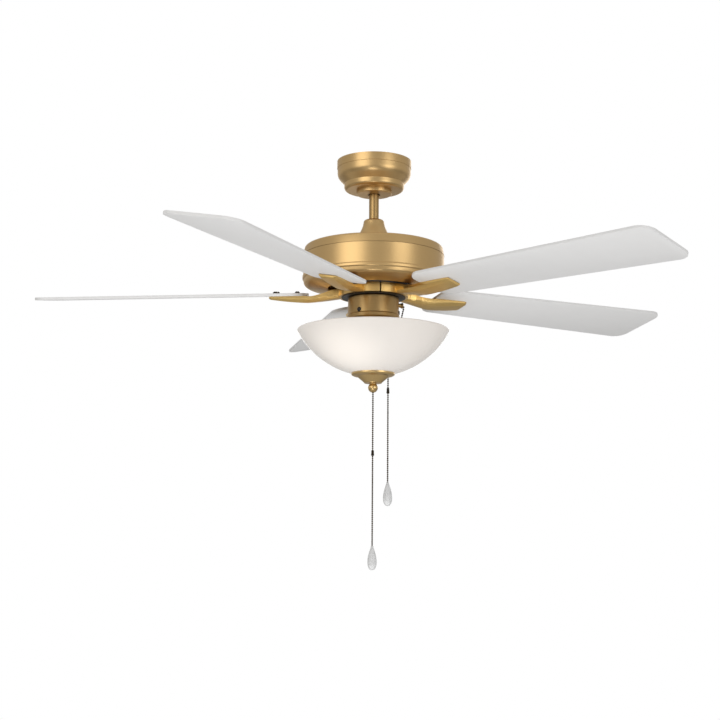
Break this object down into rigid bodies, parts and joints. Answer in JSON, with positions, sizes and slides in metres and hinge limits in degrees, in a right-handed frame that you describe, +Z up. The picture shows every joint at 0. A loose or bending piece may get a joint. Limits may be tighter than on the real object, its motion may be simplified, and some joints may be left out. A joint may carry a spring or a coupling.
{
  "type": "ceiling fan with light",
  "caption": "Ceiling fan on a short downrod with white blades, a satin brass motor housing, an opal glass bowl light and two pull chains.",
  "frame": {"origin": "the middle of the ceiling face of the canopy and bracket, on the downrod's axis", "axes": "+Z up into the ceiling along the downrod, +X along the bracket's two slots, Y across them; the fan hangs towards -Z"},
  "size_m": [1.2589, 1.2757, 0.7912],
  "materials": {
    "satin_brass": "satin, fine turned grain",
    "gold_casting": "satin cast",
    "white_blade": "fibreboard, painted matte white",
    "opal_glass": "opal white, translucent",
    "lamp_glass": "frosted white",
    "black_steel": "satin black",
    "dark_screw": "dark bronze",
    "plain_steel": "zinc plated",
    "cast_metal": "bare casting",
    "copper_wire": "enamelled copper",
    "black_plastic": "moulded",
    "white_ceramic": "glazed",
    "rubber": "soft",
    "bead_chain": "antique ball chain",
    "chain_fitting": "dark antique",
    "frosted_acrylic": "clear, frosted"
  },
  "bodies": {
    "hanger": {"hanger_bracket": "plain_steel", "canopy": "satin_brass", "canopy_screws": "dark_screw", "canopy_cover_ring": "satin_brass"},
    "fan_body": {"hanger_ball": "black_plastic", "ball_cross_pin": "plain_steel", "downrod": "satin_brass", "coupling_cover": "satin_brass", "motor_coupling": "plain_steel", "clevis_pin": "plain_steel", "motor_shaft": "plain_steel", "stator_core": "cast_metal", "stator_windings": "copper_wire", "housing_top_cover": "satin_brass", "housing_band": "satin_brass", "housing_lower_cover": "satin_brass", "mounting_disc": "black_steel", "shaft_nut": "plain_steel", "switch_housing": "satin_brass", "chain_port": "satin_brass", "speed_switch": "black_plastic", "reverse_switch_body": "black_plastic", "run_capacitor": "black_plastic", "light_kit_pan": "satin_brass", "light_kit_screws": "dark_screw", "lamp_sockets": "white_ceramic", "bulbs": "lamp_glass", "light_pull_switch": "black_plastic", "centre_pipe": "plain_steel", "glass_bowl": "opal_glass", "glass_washer": "rubber", "fitter_cap": "satin_brass", "finial": "satin_brass", "fan_chain_stub": "bead_chain"},
    "rotor": {"rotor_cage": "cast_metal", "rotor_top_bell": "cast_metal", "rotor_bottom_bell": "cast_metal", "upper_bearing": "plain_steel", "lower_bearing": "plain_steel", "blade_arm_1": "gold_casting", "blade_arm_2": "gold_casting", "blade_arm_3": "gold_casting", "blade_arm_4": "gold_casting", "blade_arm_5": "gold_casting", "blade_1": "white_blade", "blade_2": "white_blade", "blade_3": "white_blade", "blade_4": "white_blade", "blade_5": "white_blade", "blade_screws": "dark_screw", "arm_screws": "dark_screw"},
    "reverse_switch": {"reverse_slider": "black_plastic"},
    "light_pull": {"light_chain_inner": "bead_chain"},
    "light_pull_end": {"light_chain": "bead_chain", "light_chain_connector": "chain_fitting", "light_pendant": "frosted_acrylic"},
    "fan_pull": {"fan_chain_inner": "bead_chain"},
    "fan_pull_end": {"fan_chain": "bead_chain", "fan_chain_connector": "chain_fitting", "fan_pendant": "frosted_acrylic"}
  },
  "joints": [
    {"name": "ball_swing", "type": "hinge", "parent": "hanger", "child": "fan_body", "pos_m": [0, 0, -0.034], "axis": [1, 0, 0], "range_deg": [-2, 2]},
    {"name": "blade_spin", "type": "hinge", "parent": "fan_body", "child": "rotor", "pos_m": [0, 0, -0.215], "axis": [0, 0, 1], "continuous": true},
    {"name": "reverse_slide", "type": "slide", "parent": "fan_body", "child": "reverse_switch", "axis": [0, 0, 1], "range_m": [-0.004, 0]},
    {"name": "light_switch_pull", "type": "slide", "parent": "fan_body", "child": "light_pull", "axis": [0, 0, -1], "range_m": [0, 0.008], "stiffness_N_per_m": 400},
    {"name": "light_chain_swing", "type": "hinge", "parent": "light_pull", "child": "light_pull_end", "pos_m": [0, 0, -0.4546], "axis": [1, 0, 0], "range_deg": [-20, 20]},
    {"name": "fan_switch_pull", "type": "slide", "parent": "fan_body", "child": "fan_pull", "axis": [-0.2149, -0.0118, -0.9766], "range_m": [0, 0.008], "stiffness_N_per_m": 400},
    {"name": "fan_chain_swing", "type": "hinge", "parent": "fan_pull", "child": "fan_pull_end", "pos_m": [0.0289, 0.02, -0.4226], "axis": [1, 0, 0], "range_deg": [-20, 20]}
  ]
}
